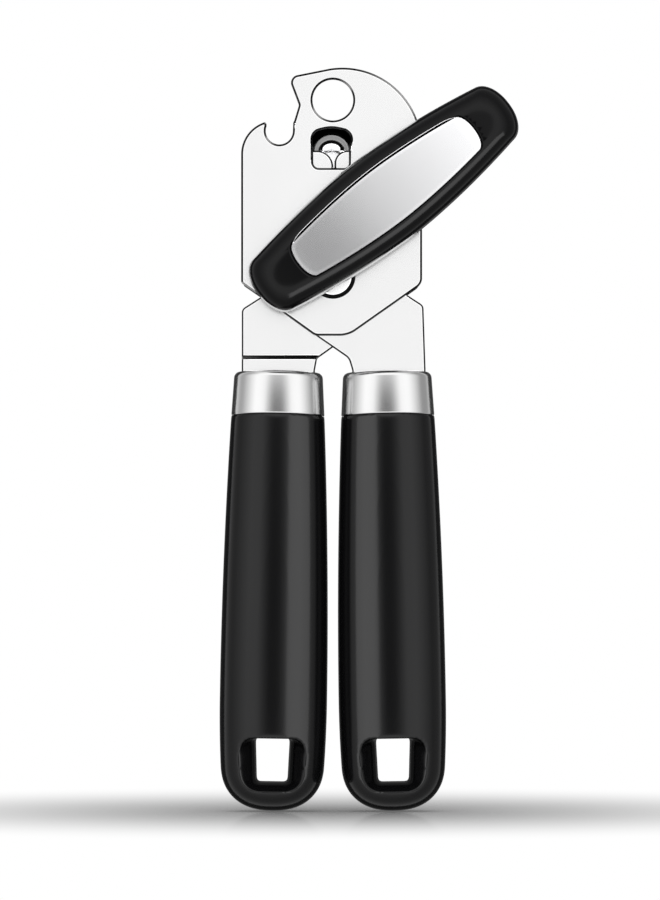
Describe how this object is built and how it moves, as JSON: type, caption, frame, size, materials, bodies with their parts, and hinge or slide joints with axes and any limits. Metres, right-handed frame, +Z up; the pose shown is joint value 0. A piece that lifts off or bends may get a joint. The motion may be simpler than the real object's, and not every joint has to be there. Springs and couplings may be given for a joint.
{
  "type": "manual can opener",
  "caption": "Hand-held can opener with two crossing levers, black grips, a long turning knob, a toothed feed wheel, a free cutter wheel and a bottle opener on its head plate.",
  "frame": {"origin": "centre of the round hanging hole, on the front face of the head plate", "axes": "+Z up along the tool towards its head, +X to the right seen from the knob side, +Y from the knob side to the wheels at the back"},
  "size_m": [0.0837, 0.0428, 0.2082],
  "materials": {
    "plate_steel": "satin polished",
    "rivet_steel": "polished",
    "bearing_steel": "turned",
    "gear_steel": "sintered, satin",
    "blade_steel": "ground and polished",
    "inlay_steel": "satin",
    "ferrule_steel": "satin, brushed around",
    "brass": "plain",
    "black_plastic": "satin moulded ABS"
  },
  "bodies": {
    "frame": {"face_plate": "plate_steel", "window_cup": "plate_steel", "left_lever": "plate_steel", "pivot_rivet": "rivet_steel", "pivot_washer_front": "bearing_steel", "pivot_washer_rear": "bearing_steel", "frame_rivet": "rivet_steel", "spindle_bush": "bearing_steel", "left_ferrule": "ferrule_steel", "left_grip": "black_plastic"},
    "right_arm": {"right_lever": "plate_steel", "cutter_stud": "bearing_steel", "cutter_washer": "bearing_steel", "right_ferrule": "ferrule_steel", "right_grip": "black_plastic"},
    "drive": {"spindle": "bearing_steel", "spring_washer": "bearing_steel", "feed_wheel": "gear_steel", "feed_washer": "rivet_steel", "spindle_rivet_head": "bearing_steel", "knob_body": "black_plastic", "knob_insert": "brass", "knob_inlay": "inlay_steel"},
    "cutter": {"cutter_wheel": "blade_steel"}
  },
  "joints": [
    {"name": "handle_pivot", "type": "hinge", "parent": "frame", "child": "right_arm", "pos_m": [0, 0.0027, -0.0493], "axis": [0, -1, 0], "range_deg": [0, 50]},
    {"name": "knob_spin", "type": "hinge", "parent": "frame", "child": "drive", "pos_m": [0.0144, 0, -0.028], "axis": [0, -1, 0], "continuous": true},
    {"name": "cutter_spin", "type": "hinge", "parent": "right_arm", "child": "cutter", "pos_m": [-0.0042, 0.008, -0.0218], "axis": [0, -1, 0], "continuous": true}
  ]
}
